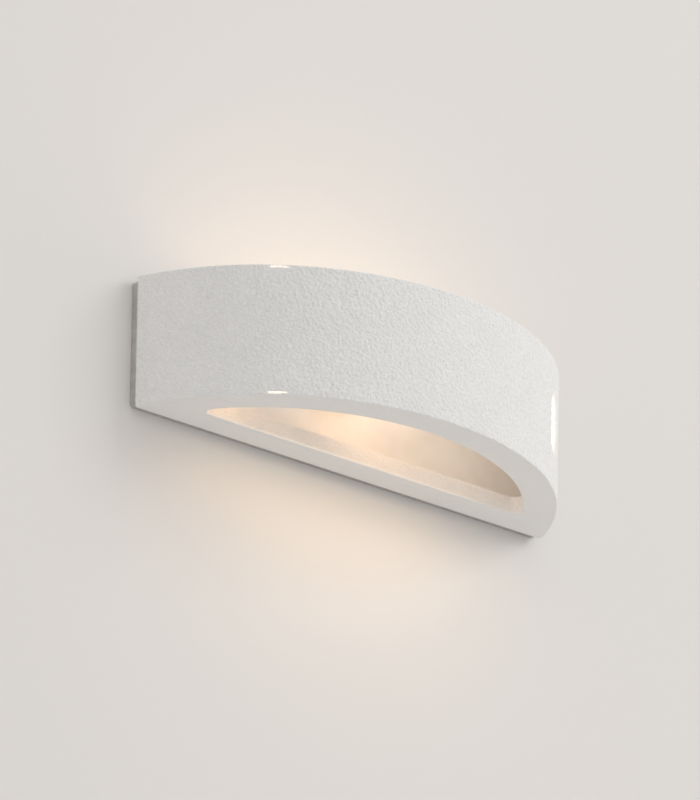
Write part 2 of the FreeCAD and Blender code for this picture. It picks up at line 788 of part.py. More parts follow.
def lamp():
    cap_in = "cap_radius - cap_wall"
    cap_rear = "lamp_start + nub_length"
    node(turned("lamp_contact", [
        ("lamp_start", "0"), ("lamp_start", "nub_radius / 2"),
        ("lamp_start + nub_length / 2", "nub_radius"), (cap_rear, "nub_radius"), (cap_rear, "0"),
    ]), "lamp_contact")
    node(turned("lamp_insulator", [
        (cap_rear, "0"), (cap_rear, "nub_radius + insulator_rim"), ("cap_start", "cap_throat"),
        ("cap_start", "0"),
    ]), "lamp_insulator")
    node(turned("lamp_cap", [
        ("cap_start", "cap_throat - cap_seam"), ("cap_start", "cap_throat"),
        ("cap_start + cap_taper", "cap_radius"), ("collar_start", "cap_radius"),
        ("collar_start", cap_in), ("cap_start + cap_taper + cap_wall / 2", cap_in),
        ("cap_start + cap_wall", "cap_throat - cap_seam"),
    ]), "lamp_cap")
    mouth_in = "collar_mouth - collar_wall"
    node(turned("lamp_collar", [
        ("collar_start", f"{cap_in} - collar_wall"), ("collar_start", "cap_radius + collar_foot"),
        ("collar_start + collar_bead", "cap_radius + collar_shoulder"),
        ("bulb_start", "collar_mouth"), ("bulb_start", mouth_in),
        ("collar_start + driver_setback", f"{cap_in} - collar_wall"),
    ]), "lamp_collar")


def lamp_bulb():
    """The frosted bulb: a belly of two arcs that close to a small round tip, blown hollow."""
    mouth = "collar_mouth"
    belly_x = "bulb_start + bulb_length * bulb_belly_share"
    tip_x = "bulb_start + bulb_length - bulb_tip_radius"
    inner = "bulb_radius - bulb_wall"
    rise = "(bulb_radius - collar_mouth)"
    first = "(bulb_length * bulb_belly_share)"
    swell = f"({first} * {first} + {rise} * {rise}) / (2 * {rise})"
    fall = "(bulb_radius - bulb_tip_radius)"
    run = f"(bulb_length - bulb_tip_radius - {first})"
    taper = f"({run} * {run} + {fall} * {fall}) / (2 * {fall})"
    node(turned("lamp_bulb", [
        ("bulb_start", mouth, swell, -1),
        (belly_x, "bulb_radius", taper, -1),
        (tip_x, "bulb_tip_radius"), ("bulb_start + bulb_length", "bulb_tip_radius / 2"),
        ("bulb_start + bulb_length", "0"),
        ("bulb_start + bulb_length - bulb_wall", "0"),
        (f"{tip_x} - bulb_wall", "bulb_tip_radius - bulb_wall / 2", f"{taper} - bulb_wall", 1),
        (belly_x, inner, f"{swell} - bulb_wall", 1),
        ("bulb_start", f"{mouth} - bulb_wall"),
    ]), "lamp_bulb")


LED_COUNT = 6


def lamp_electronics():
    """The LED board across the collar's mouth, its LEDs and the driver board behind it."""
    board_radius = "collar_mouth - collar_wall - led_board_gap - led_board_edge"
    board_x = "bulb_start - led_board_height - led_board_gap"
    node(rod("lamp_led_board", board_radius, "led_board_height", (board_x, "lamp_y", "0"), "x"),
         "lamp_led_board")
    leds = []
    for count in range(LED_COUNT):
        angle = count * 360 / LED_COUNT
        name = f"lamp_led_{count + 1}"
        leds.append(block(name, ("led_height", "led_size", "led_size"),
                          (f"{board_x} + led_board_height",
                           f"lamp_y + led_ring_radius * cos({angle}) - led_size / 2",
                           f"led_ring_radius * sin({angle}) - led_size / 2")))
    node(group("lamp_leds", leds), "lamp_leds")
    node(block("lamp_driver_board",
               (f"{board_x} - collar_start - driver_setback - driver_gap", "driver_width",
                "driver_height"),
               ("collar_start + driver_setback", "lamp_y - driver_width / 2",
                "-driver_height / 2")),
         "lamp_driver_board")


# ---- terminal block ----

POLES = (("live", "block_z + pole_pitch"), ("neutral", "block_z"), ("earth", "block_z - pole_pitch"))
SCREW_SIDES = ("-clamp_screw_offset", "clamp_screw_offset")


def terminal_block():
    low_x = "block_x - block_width / 2"
    housing = block("block_blank", ("block_width", "block_depth", "block_height"),
                    (low_x, "plate_face - block_depth", "block_z - block_height / 2"))
    tools = []
    barrels = []
    screws = []
    for pole, z in POLES:
        tools.append(rod(f"way_{pole}", "barrel_radius + barrel_gap", "block_width",
                         (low_x, "barrel_y", z), "x"))
        tube = rod(f"barrel_{pole}", "barrel_radius", "barrel_length",
                   ("block_x - barrel_length / 2", "barrel_y", z), "x")
        cuts = [rod(f"barrel_bore_{pole}", "barrel_bore", "barrel_length",
                    ("block_x - barrel_length / 2", "barrel_y", z), "x")]
        for count, offset in enumerate(SCREW_SIDES):
            x = f"block_x + {offset}"
            tag = f"{pole}_{count + 1}"
            tools.append(rod(f"screw_way_{tag}", "clamp_screw_radius + clamp_screw_gap",
                             "block_depth / 2", (x, "barrel_y", z), "-y"))
            cuts.append(rod(f"barrel_tap_{tag}", "clamp_screw_radius + clamp_screw_gap",
                            "barrel_radius", (x, "barrel_y", z), "-y"))
            screws.append(rod(f"clamp_screw_{tag}", "clamp_screw_radius",
                              "block_depth / 2 - barrel_bore - clamp_screw_sunk",
                              (x, "barrel_y - barrel_bore", z), "-y"))
        barrels.append(cut(f"tapped_barrel_{pole}", tube, cuts))
    tools.append(rod("fixing_way", "block_screw_radius + clamp_screw_gap", "block_depth",
                     ("block_x", "plate_face", "fixing_z"), "-y"))
    tools.append(rod("fixing_sink", "block_screw_head + block_screw_gap", "block_screw_sunk",
                     ("block_x", "plate_face - block_depth", "fixing_z"), "y"))
    node(cut("terminal_housing", housing, tools), "terminal_housing")
    node(group("terminal_barrels", barrels), "terminal_barrels")
    node(group("terminal_screws", screws), "terminal_screws")


def terminal_fixing_screw():
    reach = "block_depth - block_screw_sunk"
    shank = rod("block_screw_shank", "block_screw_radius", f"{reach} + sheet_steel",
                ("block_x", "plate_face + sheet_steel", "fixing_z"), "-y")
    head = rod("block_screw_top", "block_screw_head", "block_screw_head_height",
               ("block_x", f"plate_face - ({reach})", "fixing_z"), "-y")
    node(joined("terminal_fixing_screw", [shank, head]), "terminal_fixing_screw")


# ---- earth connection ----

def earth_set():
    def ahead(distance):
        return ("earth_x", f"plate_face - ({distance})", "earth_z")

    stack = "earth_washer_height + ring_height"
    hole = "earth_screw_radius + thread_gap"
    node(ring("earth_washer", "earth_washer_radius", hole, "earth_washer_height",
              ahead("0"), "-y"), "earth_washer")
    eye = rod("ring_eye", "ring_radius", "ring_height", ahead("earth_washer_height"), "-y")
    tail = block("ring_tail_strip", ("ring_tail", "ring_height", "2 * crimp_radius"),
                 ("earth_x + ring_radius - ring_overlap", f"plate_face - ({stack})",
                  "earth_z - crimp_radius"))
    crimp = rod("ring_crimp", "crimp_radius", "crimp_length",
                ("crimp_x", "crimp_y", "earth_z"), "x")
    bore = rod("ring_bore", hole, "ring_height", ahead("earth_washer_height"), "-y")
    node(cut("earth_ring_terminal", joined("ring_blank", [eye, tail, crimp]), [bore]),
         "earth_ring_terminal")
    shank = rod("earth_shank", "earth_screw_radius", f"{stack} + sheet_steel",
                ("earth_x", "plate_face + sheet_steel", "earth_z"), "-y")
    head = rod("earth_head", "earth_head_radius", "earth_head_height", ahead(stack), "-y")
    slot = block("earth_slot", ("2 * earth_head_radius", "screw_slot_depth", "screw_slot_width"),
                 ("earth_x - earth_head_radius",
                  f"plate_face - ({stack}) - earth_head_height",
                  "earth_z - screw_slot_width / 2"))
    node(cut("earth_screw", joined("earth_screw_blank", [shank, head]), [slot]), "earth_screw")


# ---- cable grommet ----

def cable_grommet():
    def at(depth):
        return ("cable_x", depth, "cable_z")

    front = rod("grommet_front", "grommet_flange", "grommet_lip", at("plate_face"), "-y")
    neck = rod("grommet_neck", "grommet_hole", "sheet_steel", at("plate_face"), "y")
    rear = rod("grommet_rear", "grommet_flange", "grommet_rear_lip", at("plate_face + sheet_steel"), "y")
    bore = rod("grommet_bore_tool", "grommet_bore", "grommet_lip + sheet_steel + grommet_rear_lip",
               at("plate_face - grommet_lip"), "y")
    return node(cut("cable_grommet", joined("grommet_blank", [front, neck, rear]), [bore]),
                "cable_grommet")


# ---- wires ----

def route(points, bend):
    """A path of straight runs joined by tangent arcs."""
    edges = []
    start = points[0]
    for count in range(1, len(points) - 1):
        corner = points[count]
        before = (corner - points[count - 1]).normalize()
        after = (points[count + 1] - corner).normalize()
        half_turn = before.getAngle(after) / 2
        setback = bend * math.tan(half_turn)
        first = corner - before * setback
        last = corner + after * setback
        inward = (after - before).normalize()
        centre = corner + inward * (bend / math.cos(half_turn))
        middle = centre - inward * bend
        edges.append(Part.LineSegment(start, first).toShape())
        edges.append(Part.Arc(first, middle, last).toShape())
        start = last
    edges.append(Part.LineSegment(start, points[-1]).toShape())
    return Part.Wire(edges)


def wire(name, corners, bend):
    """One insulated wire, swept along its route; its ends meet what they are clamped in."""
    points = [FreeCAD.Vector(*[worked_out(text) for text in corner]) for corner in corners]
    path = route(points, worked_out(bend))
    radius = worked_out("wire_radius")
    start = points[0]
    section = Part.Wire(Part.Circle(start, points[1] - start, radius).toShape())
    solid = path.makePipeShell([section], True, False)
    item = doc.addObject("Part::Feature", name)
    item.Shape = solid
    item.Placement = FreeCAD.Placement()
    share = solid.Volume / (math.pi * radius * radius * path.Length)
    print(f"{name}: length {path.Length:.1f}, bends {worked_out(bend):.1f}, volume ratio {share:.4f}")
    return node(item, name)


def wires():
    block_side = "block_x - block_width / 2"
    rise = ("wire_rise", "barrel_y")
    turn = ("wire_turn", "lamp_y")
    for name, pole, height in (("wire_live", "block_z + pole_pitch", "wire_split"),
                               ("wire_neutral", "block_z", "-wire_split")):
        wire(name, [(block_side, "barrel_y", pole), (*rise, pole), (*turn, height),
                    ("terminal_start", "lamp_y", height)], "wire_bend")
    crimp_end = "crimp_x + crimp_length"
    wire("wire_earth", [
        (block_side, "barrel_y", "block_z - pole_pitch"),
        (f"{block_side} - wire_lane", "barrel_y", "block_z - pole_pitch"),
        (f"{crimp_end} + wire_lane", "crimp_y", "earth_z"),
        (crimp_end, "crimp_y", "earth_z"),
    ], "wire_bend")


# ---- the whole light ----

def failed(item):
    return "Invalid" in item.State or "Error" in item.State


def check():
    """Stops if any object failed or any sub-part's shape is missing or broken."""
    doc.recompute()
    broken = [item.Label for item in doc.Objects if failed(item)]
    empty = [item.Label for item in nodes if item.Shape.isNull() or not item.Shape.isValid()]
    if broken or empty:
        raise RuntimeError(f"failed: {broken}, empty or broken: {empty}")


def write_parts():
    for item in nodes:
        item.Shape.exportStep(f"parts/{item.Label}.step")
        print(f"{item.Label}: {len(item.Shape.Solids)} solid(s), {item.Shape.Volume / 1000:.3f} cm3")


def main():
    fill_sheet()
    plaster_shade()
    back_plate()
    for side, sign in (("left", "-"), ("right", "")):
        shade_hanger(side, sign)
        shade_screw(side, sign)
        shade_nut(side, sign)
        rim_fittings(side, sign)
    lampholder_bracket()
    bracket_rivets()
    nipple_set()
    lampholder_body()
    lampholder_shell()
    lampholder_contacts()
    lamp()
    lamp_bulb()
    lamp_electronics()
    terminal_block()
    terminal_fixing_screw()
    earth_set()
    cable_grommet()
    wires()
    check()
    write_parts()


main()
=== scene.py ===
import json
import math

import bmesh
import bpy
from mathutils import Matrix, Vector, noise


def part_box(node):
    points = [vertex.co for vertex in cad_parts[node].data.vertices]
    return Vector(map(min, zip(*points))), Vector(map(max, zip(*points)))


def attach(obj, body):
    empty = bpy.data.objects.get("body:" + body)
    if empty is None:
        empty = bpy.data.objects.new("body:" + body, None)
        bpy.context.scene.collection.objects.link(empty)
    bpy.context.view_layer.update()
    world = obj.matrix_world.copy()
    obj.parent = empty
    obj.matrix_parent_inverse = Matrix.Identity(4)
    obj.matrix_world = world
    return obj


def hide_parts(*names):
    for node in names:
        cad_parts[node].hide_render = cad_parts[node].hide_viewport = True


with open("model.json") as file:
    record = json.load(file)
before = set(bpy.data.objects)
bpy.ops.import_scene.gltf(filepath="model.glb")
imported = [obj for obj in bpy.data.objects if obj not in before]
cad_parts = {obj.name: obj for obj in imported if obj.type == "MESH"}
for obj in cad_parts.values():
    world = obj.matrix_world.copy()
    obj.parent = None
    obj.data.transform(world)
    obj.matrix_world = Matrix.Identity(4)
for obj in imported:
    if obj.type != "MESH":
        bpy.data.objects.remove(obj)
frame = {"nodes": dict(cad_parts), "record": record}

bl_info = {
    "name": "Plaster Wall Light",
    "version": (1, 0, 0),
    "blender": (4, 5, 0),
    "location": "View3D > Sidebar > Wall Light",
    "description": "Dresses a D-shaped plaster wall light, its lamp and its fittings",
    "category": "Object",
}

# The wall is the plane y = 0, the light stands in front of it towards -Y, and +Z is up.

MM = 0.001
CREASE = 40
HOLE_STEPS = 48
HOLE_CHAMFER = 0.4 * MM
TIP_STEPS = 10
END_SWEEP = 0.71
WALL_FADE = 1.5 * MM
FINE_GRAIN = 1.7
FINE_GRAIN_SHARE = 0.6
FINE_GRAIN_OFFSET = Vector((31.7, 11.3, 5.9))
BACK_LINE_WOBBLE = 0.04 * MM
VIEW_TARGET = Vector((6.7, -5.3, 7.2)) * MM
KEY_PLACE, KEY_SIDE = (3.0, -3.2, 1.8), 2.2
BACK_PLACE, BACK_SIDE = (-1.0, 3.5, 1.5), 2.5
ROOM_LAMP_SIDE = 1.0
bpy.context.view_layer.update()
SHADE_LOW, SHADE_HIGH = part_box("plaster_shade")
SLOT_COLOURS = {item["slot"]: item["base_color"][:3] for item in frame["record"]["materials"]}
NODE_SLOTS = {item["node"]: item["material_slot"] for item in frame["record"]["subparts"]}


# ---- sizes and colours that a user may change ----

def length(name, description, default):
    """A size that is shown as a length; the default is in millimetres."""
    return bpy.props.FloatProperty(name=name, description=description, default=default * MM,
                                   min=0.0, unit="LENGTH", precision=4)


def number(name, description, default):
    return bpy.props.FloatProperty(name=name, description=description, default=default, min=0.0)


def angle(name, description, degrees):
    return bpy.props.FloatProperty(name=name, description=description,
                                   default=math.radians(degrees), subtype="ANGLE")


def colour(name, description, default):
    return bpy.props.FloatVectorProperty(name=name, description=description, size=3,
                                         default=default, min=0.0, max=1.0, subtype="COLOR")


class ShadeSizes(bpy.types.PropertyGroup):
    front_radius: length("Front radius", "Radius of the shade's long front arc", 172.4)
    blend_angle: angle("Blend angle", "Half of the front arc's sweep", 29.4)
    rim_width: length("Rim width", "From the outer face to the opening's edge", 19.5)
    rim_height: length("Rim height", "Thickness of the top and the bottom rim", 10.0)
    back_bar: length("Back bar", "Depth of the rim along the wall", 18.7)
    wall: length("Wall", "Thickness of the plaster at mid height", 14.0)
    edge_radius: length("Edge radius", "Rounding of the outer rim edges", 0.9)
    lip_radius: length("Lip radius", "Rounding of the opening's edges", 0.8)
    tip_radius: length("Tip radius", "Rounding of the opening's two tips", 5.0)
    hollow_radius: length("Hollow radius", "Rounding where the hollow meets the back", 0.3)
    corner_radius: length("Corner radius", "Wear on the upright corners at the wall", 0.8)
    screw_inset: length("Screw inset", "From the shade's end to each screw hole", 42.0)
    counterbore_radius: length("Counterbore radius", "Sinking round each screw's head", 4.8)
    counterbore_depth: length("Counterbore depth", "Depth of that sinking", 5.0)
    sleeve_radius: length("Sleeve radius", "Hole that each sleeve is cast into", 3.0)
    grid: length("Grid", "Spacing of the points on the hammered face", 0.65)
    lip_grid: length("Lip grid", "Spacing of the points on the opening's edge", 0.9)
    grain: length("Grain", "Size of one dent in the hammered face", 1.2)
    grain_depth: length("Grain depth", "Height of the hammered face's relief", 0.5)
    lip_grain_depth: length("Lip grain depth", "Height of the relief on the opening's edge", 0.22)


class FinishColours(bpy.types.PropertyGroup):
    plaster: colour("Plaster", "Cast plaster", (0.87, 0.865, 0.855))
    plate: colour("Plate", "Coat on the face of the back plate and on the bracket",
                  SLOT_COLOURS["white_steel"])
    bare_plate: colour("Bare plate", "Plated steel on the plate's folded edges",
                       (0.56, 0.545, 0.53))
    zinc: colour("Zinc", "Plated steel fittings", SLOT_COLOURS["zinc_steel"])
    nickel: colour("Nickel", "Plated cap and shell", SLOT_COLOURS["nickel_brass"])
    brass: colour("Brass", "Contacts and terminals", SLOT_COLOURS["brass"])
    porcelain: colour("Porcelain", "Lampholder body", SLOT_COLOURS["porcelain"])
    plastic: colour("White plastic", "Terminal housing and lamp collar",
                    SLOT_COLOURS["white_plastic"])
    rubber: colour("Rubber", "Cable grommet", SLOT_COLOURS["grey_rubber"])
    lamp_light: colour("Lamp light", "Colour of the lit bulb", (1.0, 0.62, 0.34))
    lamp_strength: number("Lamp strength", "Brightness of the lit bulb", 2.8)


class StageSizes(bpy.types.PropertyGroup):
    wall_colour: colour("Wall", "Painted wall behind the light", (0.775, 0.755, 0.735))
    floor_colour: colour("Floor", "Plain pale floor", (0.80, 0.79, 0.78))
    wall_side: length("Wall side", "Width of the wall that shows", 7000.0)
    floor_drop: length("Floor drop", "From the light down to the floor", 4600.0)
    wall_gap: length("Wall gap", "Between the plate's back and the wall's face", 0.2)
    room_strength: number("Room light", "Brightness of the room all round", 0.755)
    key_power: number("Key light", "Power of the large soft lamp, in watts", 68.0)
    glow_power: number("Glow", "Power of the light that leaves each opening, in watts", 0.05)
    end_power: number("End glow", "Power of the light at each end of the hollow, in watts", 0.022)
    fill_power: number("Back light", "Power of the lamp behind the wall, in watts", 30.0)
    camera_azimuth: angle("Camera azimuth", "Turn of the view to the left of the light", 38.93)
    camera_rise: angle("Camera rise", "How steeply the view looks up", 22.52)
    camera_roll: angle("Camera roll", "Tilt of the view about its own axis", 1.03)
    camera_distance: length("Camera distance", "From the camera to the light", 10000.0)
    camera_lens: number("Camera lens", "Focal length in millimetres", 787.1)


# ---- node materials ----

def new_material(name):
    """A material whose tree holds only the output."""
    material = bpy.data.materials.new(name)
    material.use_nodes = True
    material.node_tree.nodes.clear()
    material.node_tree.nodes.new("ShaderNodeOutputMaterial")
    return material


def node_of(tree, kind, **settings):
    made = tree.nodes.new(kind)
    for name, value in settings.items():
        setattr(made, name, value)
    return made


def surface(material, tint, roughness, metallic=0.0, **more):
    """The Principled shader, linked to the output; more sockets are named with underscores."""
    tree = material.node_tree
    shader = node_of(tree, "ShaderNodeBsdfPrincipled")
    shader.inputs["Base Color"].default_value = (*tint, 1.0)
    shader.inputs["Roughness"].default_value = roughness
    shader.inputs["Metallic"].default_value = metallic
    for name, value in more.items():
        shader.inputs[name.replace("_", " ")].default_value = value
    tree.links.new(shader.outputs["BSDF"], output_of(tree).inputs["Surface"])
    return shader


def output_of(tree):
    return next(item for item in tree.nodes if item.type == "OUTPUT_MATERIAL")


def object_place(tree, scale=(1.0, 1.0, 1.0)):
    """Object coordinates, stretched by a Mapping node."""
    place = node_of(tree, "ShaderNodeTexCoord")
    mapping = node_of(tree, "ShaderNodeMapping")
    mapping.inputs["Scale"].default_value = scale
    tree.links.new(place.outputs["Object"], mapping.inputs["Vector"])
    return mapping.outputs["Vector"]


def noise_of(tree, vector, cell, detail=4.0, rough=0.55):
    """Noise whose blobs are about a cell across."""
    made = node_of(tree, "ShaderNodeTexNoise")
    made.inputs["Scale"].default_value = 1.0 / cell
    made.inputs["Detail"].default_value = detail
    made.inputs["Roughness"].default_value = rough
    tree.links.new(vector, made.inputs["Vector"])
    return made.outputs["Fac"]


def ranged(tree, value, low, high, out_low, out_high):
    made = node_of(tree, "ShaderNodeMapRange")
    for name, figure in zip(("From Min", "From Max", "To Min", "To Max"),
                            (low, high, out_low, out_high)):
        made.inputs[name].default_value = figure
    tree.links.new(value, made.inputs["Value"])
    return made.outputs["Result"]


def between(tree, factor, first, second):
    """A colour that runs from the first to the second with the factor."""
    made = node_of(tree, "ShaderNodeMix", data_type="RGBA")
    made.inputs[6].default_value = (*first, 1.0)
    made.inputs[7].default_value = (*second, 1.0)
    tree.links.new(factor, made.inputs[0])
    return made.outputs[2]


def bumps(tree, height, strength, distance, normal=None):
    made = node_of(tree, "ShaderNodeBump")
    made.inputs["Distance"].default_value = distance
    if isinstance(strength, float):
        made.inputs["Strength"].default_value = strength
    else:
        tree.links.new(strength, made.inputs["Strength"])
    tree.links.new(height, made.inputs["Height"])
    if normal is not None:
        tree.links.new(normal, made.inputs["Normal"])
    return made.outputs["Normal"]


def shaded(tint, factor):
    return tuple(min(channel * factor, 1.0) for channel in tint)


def clouded(tree, shader, cloud, dark, light):
    """Lets the base colour drift between two shades of itself."""
    tint = shader.inputs["Base Color"].default_value[:3]
    spread = ranged(tree, cloud, 0.3, 0.7, 0.0, 1.0)
    tree.links.new(between(tree, spread, shaded(tint, dark), shaded(tint, light)),
                   shader.inputs["Base Color"])


def uneven_gloss(tree, shader, cloud, low, high):
    """Lets the roughness drift between two factors of its own value."""
    rough = shader.inputs["Roughness"].default_value
    tree.links.new(ranged(tree, cloud, 0.3, 0.7, rough * low, rough * high),
                   shader.inputs["Roughness"])


def plaster_finish(tint):
    """Matt cast plaster: faint clouding, grit everywhere, and pits on the hammered faces, with
    painted shade in the pits and a faint painted highlight on their high spots.
    """
    material = new_material("cast_plaster")
    tree = material.node_tree
    shader = surface(material, tint, 0.92, Specular_IOR_Level=0.25)
    place = object_place(tree)
    cloud = noise_of(tree, place, 22 * MM, 3.0)
    clouded(tree, shader, cloud, 0.98, 1.01)
    uneven_gloss(tree, shader, cloud, 0.96, 1.04)
    hammered = node_of(tree, "ShaderNodeAttribute", attribute_name="hammered")
    pits = noise_of(tree, place, 1.0 * MM, 2.0, 0.6)
    pit_strength = ranged(tree, hammered.outputs["Fac"], 0.0, 1.0, 0.05, 0.9)
    grit = noise_of(tree, place, 0.4 * MM, 2.0, 0.5)
    coarse = bumps(tree, pits, pit_strength, 0.4 * MM)
    # Painted shade: the base colour follows the pits' bump on the hammered faces only. It is
    # darker where the bump sinks and a little lighter on its high spots.
    painted_pit_shade = ranged(tree, pits, 0.35, 0.65, 0.93, 1.03)
    pit_shade_blend = node_of(tree, "ShaderNodeMix", data_type="FLOAT")
    tree.links.new(hammered.outputs["Fac"], pit_shade_blend.inputs[0])
    pit_shade_blend.inputs[2].default_value = 1.0
    tree.links.new(painted_pit_shade, pit_shade_blend.inputs[3])
    pit_shaded_tint = node_of(tree, "ShaderNodeVectorMath", operation="SCALE")
    tree.links.new(shader.inputs["Base Color"].links[0].from_socket, pit_shaded_tint.inputs[0])
    tree.links.new(pit_shade_blend.outputs[0], pit_shaded_tint.inputs["Scale"])
    tree.links.new(pit_shaded_tint.outputs[0], shader.inputs["Base Color"])
    tree.links.new(bumps(tree, grit, 0.2, 0.04 * MM, coarse), shader.inputs["Normal"])
    return material


def coated_finish(name, tint, gloss, peel, relief):
    """A sprayed or moulded coat with orange peel and slight unevenness in its gloss."""
    material = new_material(name)
    tree = material.node_tree
    shader = surface(material, tint, gloss)
    place = object_place(tree)
    cloud = noise_of(tree, place, 14 * MM, 3.0)
    clouded(tree, shader, cloud, 0.96, 1.02)
    uneven_gloss(tree, shader, cloud, 0.85, 1.15)
    dimples = noise_of(tree, place, peel, 2.0)
    tree.links.new(bumps(tree, dimples, 0.35, relief), shader.inputs["Normal"])
    return material


def plated_finish(name, tint, gloss, cell=3.0 * MM, stretch=(1.0, 1.0, 1.0)):
    """Metal with fine drawn lines, cloudy patches and smudged gloss."""
    material = new_material(name)
    tree = material.node_tree
    shader = surface(material, tint, gloss, 1.0)
    cloud = noise_of(tree, object_place(tree), cell, 4.0, 0.6)
    clouded(tree, shader, cloud, 0.84, 1.05)
    uneven_gloss(tree, shader, cloud, 0.7, 1.4)
    lines = noise_of(tree, object_place(tree, stretch), 0.5 * MM, 3.0, 0.7)
    tree.links.new(bumps(tree, lines, 0.2, 0.03 * MM), shader.inputs["Normal"])
    return material


def porcelain_finish(tint):
    """White electrical porcelain: thin glaze over a slightly wavy body with a few specks."""
    material = new_material("porcelain")
    tree = material.node_tree
    shader = surface(material, tint, 0.28, Coat_Weight=0.35, Coat_Roughness=0.12)
    place = object_place(tree)
    specks = node_of(tree, "ShaderNodeTexVoronoi")
    specks.inputs["Scale"].default_value = 1.0 / (2.6 * MM)
    tree.links.new(place, specks.inputs["Vector"])
    dots = ranged(tree, specks.outputs["Distance"], 0.03, 0.06, 0.0, 1.0)
    tree.links.new(between(tree, dots, shaded(tint, 0.6), tint), shader.inputs["Base Color"])
    wave = noise_of(tree, place, 2.2 * MM, 3.0)
    tree.links.new(bumps(tree, wave, 0.25, 0.12 * MM), shader.inputs["Normal"])
    return material


def bulb_finish(tint, light, strength):
    """Frosted cover, brightest over the LEDs and dimmer towards its tip."""
    material = new_material("frosted_bulb")
    tree = material.node_tree
    shader = surface(material, tint, 0.55, Emission_Strength=strength)
    place = object_place(tree)
    parts = node_of(tree, "ShaderNodeSeparateXYZ")
    tree.links.new(place, parts.inputs["Vector"])
    low, high = (corner.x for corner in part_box("lamp_bulb"))
    along = ranged(tree, parts.outputs["X"], low, high, 0.0, 1.0)
    tree.links.new(between(tree, along, light, shaded(light, 0.85)),
                   shader.inputs["Emission Color"])
    frost = noise_of(tree, place, 0.4 * MM, 2.0)
    tree.links.new(bumps(tree, frost, 0.2, 0.03 * MM), shader.inputs["Normal"])
    return material


def board_finish(tint):
    """Green solder mask with paler tracks under it."""
    material = new_material("driver_board")
    tree = material.node_tree
    shader = surface(material, tint, 0.35)
    bricks = node_of(tree, "ShaderNodeTexBrick")
    bricks.inputs["Scale"].default_value = 1.0 / (3.0 * MM)
    for name, factor in (("Color1", 1.0), ("Color2", 0.8), ("Mortar", 1.7)):
        bricks.inputs[name].default_value = (*shaded(tint, factor), 1.0)
    bricks.inputs["Mortar Size"].default_value = 0.06
    tree.links.new(object_place(tree), bricks.inputs["Vector"])
    tree.links.new(bricks.outputs["Color"], shader.inputs["Base Color"])
    return material


def sleeve_finish(name, tint, stripe=None):
    """A wire's insulation, with a second colour in bands where it has one."""
    material = new_material(name)
    tree = material.node_tree
    shader = surface(material, tint, 0.5)
    place = object_place(tree)
    if stripe:
        bands = node_of(tree, "ShaderNodeTexWave", bands_direction="DIAGONAL")
        bands.inputs["Scale"].default_value = 1.0 / (9.0 * MM)
        tree.links.new(place, bands.inputs["Vector"])
        part = ranged(tree, bands.outputs["Fac"], 0.62, 0.66, 0.0, 1.0)
        tree.links.new(between(tree, part, tint, stripe), shader.inputs["Base Color"])
    else:
        clouded(tree, shader, noise_of(tree, place, 4.0 * MM, 2.0), 0.85, 1.15)
    weave = noise_of(tree, place, 0.3 * MM, 2.0)
    tree.links.new(bumps(tree, weave, 0.3, 0.05 * MM), shader.inputs["Normal"])
    return material


def plate_finish(name, coat_tint, bare_tint):
    """White coat on the plate's face, and bare plated steel where the sheet turns back."""
    material = coated_finish(name, coat_tint, 0.45, 1.2 * MM, 0.06 * MM)
    tree = material.node_tree
    shader = next(item for item in tree.nodes if item.type == "BSDF_PRINCIPLED")
    parts = node_of(tree, "ShaderNodeSeparateXYZ")
    tree.links.new(object_place(tree), parts.inputs["Vector"])
    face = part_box("back_plate")[0].y
    bare = ranged(tree, parts.outputs["Y"], face + 0.25 * MM, face + 0.35 * MM, 0.0, 1.0)
    coated = shader.inputs["Base Color"].links[0].from_socket
    steel = noise_of(tree, object_place(tree), 5.0 * MM, 4.0, 0.6)
    spangle = between(tree, ranged(tree, steel, 0.35, 0.65, 0.0, 1.0),
                      shaded(bare_tint, 0.9), shaded(bare_tint, 1.08))
    mix = node_of(tree, "ShaderNodeMix", data_type="RGBA")
    tree.links.new(bare, mix.inputs[0])
    tree.links.new(coated, mix.inputs[6])
    tree.links.new(spangle, mix.inputs[7])
    tree.links.new(mix.outputs[2], shader.inputs["Base Color"])
    tree.links.new(ranged(tree, bare, 0.0, 1.0, 0.0, 0.6), shader.inputs["Metallic"])
    return material


def make_finishes(colours):
    """One material for each of the record's slots."""
    own = SLOT_COLOURS
    return {
        "plaster": plaster_finish(colours.plaster),
        "white_steel": coated_finish("plate_coat", colours.plate, 0.45, 1.2 * MM, 0.06 * MM),
        "zinc_steel": plated_finish("zinc_plate", colours.zinc, 0.30),
        "nickel_brass": plated_finish("nickel_plate", colours.nickel, 0.18),
        "brass": plated_finish("brass", colours.brass, 0.28),
        "porcelain": porcelain_finish(colours.porcelain),
        "frosted_bulb": bulb_finish(own["frosted_bulb"], colours.lamp_light,
                                    colours.lamp_strength),
        "white_plastic": coated_finish("moulded_plastic", colours.plastic, 0.42,
                                       0.8 * MM, 0.04 * MM),
        "led_phosphor": coated_finish("phosphor", own["led_phosphor"], 0.6,
                                      0.3 * MM, 0.02 * MM),
        "board_green": board_finish(own["board_green"]),
        "black_glass": coated_finish("black_glass", own["black_glass"], 0.12,
                                     2.0 * MM, 0.03 * MM),
        "grey_rubber": coated_finish("moulded_rubber", colours.rubber, 0.75,
                                     0.6 * MM, 0.06 * MM),
        "brown_insulation": sleeve_finish("brown_sleeve", own["brown_insulation"]),
        "blue_insulation": sleeve_finish("blue_sleeve", own["blue_insulation"]),
        "green_insulation": sleeve_finish("earth_sleeve", own["green_insulation"],
                                          (0.80, 0.68, 0.08)),
    }


FINISHES = {}


def coat(piece, slot):
    piece.data.materials.clear()
    piece.data.materials.append(bpy.data.materials[FINISHES[slot]])


# ---- mesh helpers ----

